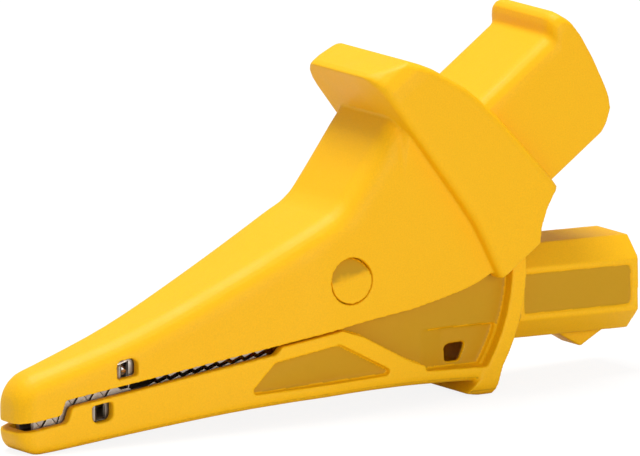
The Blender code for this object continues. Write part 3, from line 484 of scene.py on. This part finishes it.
def lanced(sheet, window):
    """Cut a window through both sides of a channel, and turn its front edge out as a barb."""
    (left, right), (low, high) = window
    cut = bmesh.new()
    cut.from_mesh(sheet.data)
    inside = []
    for face in cut.faces:
        middle = face.calc_center_median()
        if abs(face.normal.y) > 0.9 and left < middle.x < right and low < middle.z < high:
            inside.append(face)
    half = max(abs(face.calc_center_median().y) for face in inside)
    bmesh.ops.delete(cut, geom=inside, context="FACES")
    for side in (-1, 1):
        corners = [(left, side * half, low), (left, side * half, high),
                   (left + BARB_LENGTH, side * (half + BARB_RISE), high),
                   (left + BARB_LENGTH, side * (half + BARB_RISE), low)]
        cut.faces.new([cut.verts.new(corner) for corner in (corners if side > 0 else reversed(corners))])
    cut.to_mesh(sheet.data)
    cut.free()


# Painted shade: this nickel is darker than the plated turning, for the shade inside the jaws' gap.
shaded_nickel = plated("nickel_sheet_painted_shade", (0.46, 0.42, 0.36), 0.34, (0.08, 1.0, 1.0))
channel_tree = toothed_channel_tree()
shared = {"Columns Count": COLUMNS, "Rows Count": ROWS, "First Tooth": FIRST_TOOTH,
          "Front Columns": FRONT_COLUMNS, "Front Pitch": FRONT_PITCH, "Rear Pitch": REAR_PITCH,
          "Line Height": LINE_HEIGHT, "Line Slope": LINE_SLOPE, "Step Place": STEP_PLACE,
          "Step": NOSE_STEP, "Tooth Depth": TOOTH_DEPTH, "Rear Depth": REAR_DEPTH,
          "Clearance": TOOTH_CLEARANCE, "Lean": REAR_LEAN, "Half Width": CHEEK_HALF - CHEEK_WALL,
          "Taper": TAPER, "Taper Start": TAPER_START, "Taper Length": TAPER_LENGTH,
          "Bend Radius": BEND_RADIUS, "Web Reach": INSERT_SIDE, "Notch First": NOTCH_FIRST,
          "Notch Last": NOTCH_LAST}
upper_window = ((-34.3, -32.0), (-11.5, -9.3))
upper_sizes = {"Side": 1.0, "Shift": 0.0, "Rear Clearance": -0.05, "Notch Depth": 1.6, "Notch Tooth": 12.0,
               "Web Height": 3.7, "Web Slope": 0.363}
lower_window = ((-37.8, -35.5), (-16.4, -14.0))
lower_sizes = {"Side": -1.0, "Shift": 0.13, "Rear Clearance": 0.6, "Notch Depth": 0.2, "Notch Tooth": -1.0,
               "Web Height": -12.84, "Web Slope": 0.131}
for body, window, own in (("upper", upper_window, upper_sizes), ("lower", lower_window, lower_sizes)):
    sheet = grown(body + "_sheet", channel_tree, {**shared, **own}, shaded_nickel)
    lanced(sheet, window)
    insert = placed(rimmed(sheet, body + "_toothed_channel", shaded_nickel, SHEET, SHEET_EDGE))
    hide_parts(body + "_jaw_insert")
    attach(insert, body)


# The torsion spring is wound from round spring steel wire: four turns round the bush, one leg down to the
# floor of the lower half and one up the neck of the upper half, which it pushes round when the clip opens.
COIL_RADIUS = 3.6
WIRE_RADIUS = 0.6
COIL_TURNS = 4
COIL_PITCH = 1.55
LOWER_LEG_ANGLE = math.radians(-30.0)
UPPER_LEG_ANGLE = math.radians(54.67)
UPPER_LEG = 15.0
LEG_FLOOR = -12.85
LEG_COUNT = 12
TURN_COUNT = 60
LONG_LEG_COUNT = 24
PROFILE_COUNT = 24


def wound_wire_tree():
    """Round wire in three runs along one line of points: a straight leg, a helix and another straight leg."""
    sizes = ("Lower Count", "Coil Count", "Upper Count", "Profile Count", "Coil Radius", "Wire Radius",
             "Width", "First Angle", "Last Angle", "Lower Angle", "Lower Length", "Upper Angle",
             "Upper Length")
    tree, given, maths = new_tree("wound_wire", sizes)
    coil_end = maths("ADD", given["Lower Count"], given["Coil Count"])
    points = maths("ADD", maths("ADD", coil_end, given["Upper Count"]), 1.0)
    line = tree.nodes.new("GeometryNodeMeshLine")
    tree.links.new(points, line.inputs["Count"])
    index = tree.nodes.new("GeometryNodeInputIndex").outputs[0]
    from_end = maths("SUBTRACT", 1.0, maths("DIVIDE", index, given["Lower Count"], clamp=True))
    past_leg = maths("SUBTRACT", index, given["Lower Count"])
    round_coil = maths("DIVIDE", past_leg, given["Coil Count"], clamp=True)
    up_leg = maths("DIVIDE", maths("SUBTRACT", index, coil_end), given["Upper Count"], clamp=True)
    sweep = maths("SUBTRACT", given["Last Angle"], given["First Angle"])
    turn = maths("ADD", given["First Angle"], maths("MULTIPLY", sweep, round_coil))
    lower = maths("MULTIPLY", from_end, given["Lower Length"])
    upper = maths("MULTIPLY", up_leg, given["Upper Length"])

    def along(function):
        """One coordinate, from the coil's turn and both legs' directions."""
        coil = maths("MULTIPLY", given["Coil Radius"], maths(function, turn))
        down = maths("MULTIPLY", lower, maths(function, given["Lower Angle"]))
        up = maths("MULTIPLY", upper, maths(function, given["Upper Angle"]))
        return maths("ADD", coil, maths("ADD", down, up))

    point = tree.nodes.new("ShaderNodeCombineXYZ")
    tree.links.new(along("COSINE"), point.inputs["X"])
    tree.links.new(maths("MULTIPLY", given["Width"], maths("SUBTRACT", round_coil, 0.5)), point.inputs["Y"])
    tree.links.new(along("SINE"), point.inputs["Z"])
    moved = tree.nodes.new("GeometryNodeSetPosition")
    tree.links.new(line.outputs[0], moved.inputs["Geometry"])
    tree.links.new(point.outputs[0], moved.inputs["Position"])
    path = tree.nodes.new("GeometryNodeMeshToCurve")
    tree.links.new(moved.outputs[0], path.inputs[0])
    circle = tree.nodes.new("GeometryNodeCurvePrimitiveCircle")
    tree.links.new(given["Profile Count"], circle.inputs["Resolution"])
    tree.links.new(given["Wire Radius"], circle.inputs["Radius"])
    swept = tree.nodes.new("GeometryNodeCurveToMesh")
    swept.inputs["Fill Caps"].default_value = True
    tree.links.new(path.outputs[0], swept.inputs["Curve"])
    tree.links.new(circle.outputs[0], swept.inputs["Profile Curve"])
    close_tree(tree, given, swept.outputs[0])
    return tree


first_angle = LOWER_LEG_ANGLE - math.pi / 2
last_angle = UPPER_LEG_ANGLE + math.pi / 2 - 2 * math.pi * (COIL_TURNS + 1)
lower_leg = (COIL_RADIUS * math.sin(first_angle) - LEG_FLOOR) / -math.sin(LOWER_LEG_ANGLE)
spring_steel = plated("drawn_spring_steel", (0.40, 0.40, 0.41), 0.34, (1.0, 1.0, 1.0))
wire = {"Lower Count": LEG_COUNT, "Coil Count": TURN_COUNT * COIL_TURNS, "Upper Count": LONG_LEG_COUNT,
        "Profile Count": PROFILE_COUNT,
        "Coil Radius": COIL_RADIUS, "Wire Radius": WIRE_RADIUS,
        "Width": COIL_PITCH * (first_angle - last_angle) / (2 * math.pi), "First Angle": first_angle,
        "Last Angle": last_angle, "Lower Angle": LOWER_LEG_ANGLE, "Lower Length": lower_leg,
        "Upper Angle": UPPER_LEG_ANGLE, "Upper Length": UPPER_LEG}
spring = placed(grown("wound_spring", wound_wire_tree(), wire, spring_steel))
spring.data.set_sharp_from_angle(angle=math.radians(50.0))
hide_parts("torsion_spring")
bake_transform(spring)


# Turned pieces: the contact tube of nickel plated brass with its closed tail, the black sleeve that holds it
# in the middle of the barrel, and the plain bush that the spring winds round.
AXIS_HEIGHT = -4.5
BORE_RADIUS = 2.05
TUBE_RADIUS = 2.45
TAIL_RADIUS = 1.85
TAIL_START = 21.9
TUBE_START = 26.4
TUBE_END = 40.6
BORE_FLOOR = 27.9
CONTACT = ((TAIL_START, 0.0), (TAIL_START, TAIL_RADIUS), (TUBE_START, TAIL_RADIUS),
           (TUBE_START, TUBE_RADIUS), (TUBE_END, TUBE_RADIUS), (TUBE_END, BORE_RADIUS),
           (BORE_FLOOR, BORE_RADIUS), (BORE_FLOOR, 0.0))
SLEEVE_START = 26.5
COLLAR_END = 29.5
SLEEVE_END = 41.1
SLEEVE_BORE = 2.75
SLEEVE_RADIUS = 3.35
COLLAR_RADIUS = 4.1
SLEEVE = ((SLEEVE_START, SLEEVE_BORE), (SLEEVE_START, COLLAR_RADIUS), (COLLAR_END, COLLAR_RADIUS),
          (COLLAR_END, SLEEVE_RADIUS), (SLEEVE_END, SLEEVE_RADIUS), (SLEEVE_END, SLEEVE_BORE))
BUSH_HALF = 5.3
BUSH_BORE = 2.1
BUSH_RADIUS = 2.7
BUSH = ((-BUSH_HALF, BUSH_BORE), (-BUSH_HALF, BUSH_RADIUS), (BUSH_HALF, BUSH_RADIUS),
        (BUSH_HALF, BUSH_BORE))
TURNED_EDGE = 0.08


def lathed(name, profile, finish_material, edge, steps=96):
    """A piece turned round the x axis from (x, radius) corners, with its edges broken."""
    build = bmesh.new()
    rings = []
    for step in range(steps):
        turn = 2 * math.pi * step / steps
        rings.append([build.verts.new((x, r * math.sin(turn), r * math.cos(turn))) for x, r in profile])
    for ring, following in zip(rings, rings[1:] + rings[:1]):
        for i in range(len(profile)):
            j = (i + 1) % len(profile)
            build.faces.new((ring[i], ring[j], following[j], following[i]))
    bmesh.ops.remove_doubles(build, verts=build.verts, dist=1e-6)
    bmesh.ops.recalc_face_normals(build, faces=build.faces)
    mesh = bpy.data.meshes.new(name + "_blank")
    build.to_mesh(mesh)
    build.free()
    blank = bpy.data.objects.new(name + "_blank", mesh)
    bpy.context.scene.collection.objects.link(blank)
    mesh.shade_smooth()
    broken(blank, edge)
    return settled(blank, name, finish_material)


nickel_brass = plated("nickel_plated_turning", (0.68, 0.64, 0.55), 0.27, (1.0, 0.15, 0.15))
black = grained_polyamide("black_polyamide_grained", (0.022, 0.022, 0.022), 0.1, 0.0)
to_barrel = Matrix.Translation((0.0, 0.0, AXIS_HEIGHT))
across = Matrix.Rotation(math.pi / 2, 4, "Z")
turnings = (("contact_tube", CONTACT, nickel_brass, to_barrel, "socket_contact", "nickel_plated_brass"),
            ("contact_sleeve", SLEEVE, black, to_barrel, "socket_sleeve", "black_polyamide"),
            ("coil_bush", BUSH, shaded_nickel, across, "spring_bush", "nickel_plated_steel"))
for name, profile, finish_material, where, cad_node, slot in turnings:
    turning = lathed(name, profile, finish_material, TURNED_EDGE)
    turning.data.transform(where)
    placed(turning)
    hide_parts(cad_node)
    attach(turning, "lower")


# The strap is cut and folded from nickel plated brass strip. It runs from the lower insert along the floor,
# under the spring, and up to the contact's tail.
STRAP_PATH = ((-14.0, -13.3), (-9.4, -12.95), (-7.0, -13.4), (13.5, -13.4), (18.5, -6.95), (22.8, -6.95))
STRAP_WIDTH = 4.4
STRAP_THICK = 0.6
FOLD = 0.9
STRAP_EDGE = 0.1


def eased(path, radius, steps=6):
    """A path of (x, z) corners with a short curve in place of each inner corner."""
    points = [Vector(p) for p in path]
    curve = [points[0]]
    for before, here, after in zip(points, points[1:], points[2:]):
        start = here + (before - here).normalized() * radius
        end = here + (after - here).normalized() * radius
        for step in range(steps + 1):
            t = step / steps
            curve.append(start * (1 - t) ** 2 + here * 2 * t * (1 - t) + end * t ** 2)
    return curve + [points[-1]]


build = bmesh.new()
rows = [[build.verts.new((p.x, side * STRAP_WIDTH / 2, p.y)) for side in (-1, 0, 1)]
        for p in eased(STRAP_PATH, FOLD)]
for row, following in zip(rows, rows[1:]):
    for i in range(2):
        build.faces.new((row[i], following[i], following[i + 1], row[i + 1]))
strip_mesh = bpy.data.meshes.new("strap_strip")
build.to_mesh(strip_mesh)
build.free()
strip = bpy.data.objects.new("strap_strip", strip_mesh)
bpy.context.scene.collection.objects.link(strip)
strip_mesh.shade_smooth()
gauge = strip.modifiers.new("gauge", "SOLIDIFY")
gauge.thickness = STRAP_THICK
gauge.offset = 0.0
broken(strip, STRAP_EDGE)
rolled_brass = plated("nickel_plated_strip", (0.68, 0.64, 0.55), 0.3, (0.1, 1.0, 1.0))
folded_strap = placed(settled(strip, "folded_strap", rolled_brass))
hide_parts("contact_strap")
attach(folded_strap, "lower")


# The floor is a sheet of white paper. The camera sees it lit from below as well, as on a light table, so
# that it stays white round the clip's soft shadow.
FLOOR_HALF = 1.5
FLOOR_COLOUR = 0.68
SEEN_COLOUR = 0.15
SEEN_GLOW = 0.88
floor_mesh = bpy.data.meshes.new("floor")
corners = [(x * FLOOR_HALF, y * FLOOR_HALF, 0.0) for x, y in ((-1, -1), (1, -1), (1, 1), (-1, 1))]
floor_mesh.from_pydata(corners, [], [(0, 1, 2, 3)])
floor = bpy.data.objects.new("floor", floor_mesh)
bpy.context.scene.collection.objects.link(floor)
paper, tree, shader, place = finish("floor_paper", (FLOOR_COLOUR,) * 3, 0.9)
shader.inputs["Specular IOR Level"].default_value = 0.0
matt = tree.nodes.new("ShaderNodeBsdfDiffuse")
matt.inputs["Color"].default_value = (SEEN_COLOUR,) * 3 + (1.0,)
glow = tree.nodes.new("ShaderNodeEmission")
glow.inputs["Strength"].default_value = SEEN_GLOW
both = tree.nodes.new("ShaderNodeAddShader")
tree.links.new(matt.outputs[0], both.inputs[0])
tree.links.new(glow.outputs[0], both.inputs[1])


def seen_apart(tree, usual, seen_by_camera, output):
    """Show one shader to the camera and give another to all other rays."""
    path = tree.nodes.new("ShaderNodeLightPath")
    choice = tree.nodes.new("ShaderNodeMixShader")
    tree.links.new(path.outputs["Is Camera Ray"], choice.inputs["Fac"])
    tree.links.new(usual.outputs[0], choice.inputs[1])
    tree.links.new(seen_by_camera.outputs[0], choice.inputs[2])
    tree.links.new(choice.outputs[0], tree.nodes[output].inputs["Surface"])


seen_apart(tree, shader, both, "Material Output")
floor_mesh.materials.append(paper)


# The light is that of a small product table: a pale room, one soft lamp overhead and slightly behind, and a
# wide soft panel low in front of the clip's cheek.
LAMP_AIM = (0.0, 0.0, 0.025)
ROOM = 0.46
world = bpy.data.worlds.new("room")
bpy.context.scene.world = world
world.use_nodes = True
tree = world.node_tree
room = tree.nodes["Background"]
room.inputs["Color"].default_value = (1.0, 1.0, 1.0, 1.0)
room.inputs["Strength"].default_value = ROOM
backdrop = tree.nodes.new("ShaderNodeBackground")
backdrop.inputs["Color"].default_value = (1.0, 1.0, 1.0, 1.0)
backdrop.inputs["Strength"].default_value = 1.0
seen_apart(tree, room, backdrop, "World Output")


def lamp(name, place, size, power):
    """A square soft lamp that looks at the clip."""
    data = bpy.data.lights.new(name, "AREA")
    data.shape = "SQUARE"
    data.size = size
    data.energy = power
    made = bpy.data.objects.new(name, data)
    made.location = place
    aim = Vector(LAMP_AIM) - Vector(place)
    made.rotation_euler = aim.to_track_quat("-Z", "Y").to_euler()
    bpy.context.scene.collection.objects.link(made)


lamp("overhead_lamp", place=(-0.04, 0.14, 0.77), size=0.35, power=5.5)
lamp("front_panel", place=(-0.02, -0.77, 0.10), size=0.5, power=3.1)
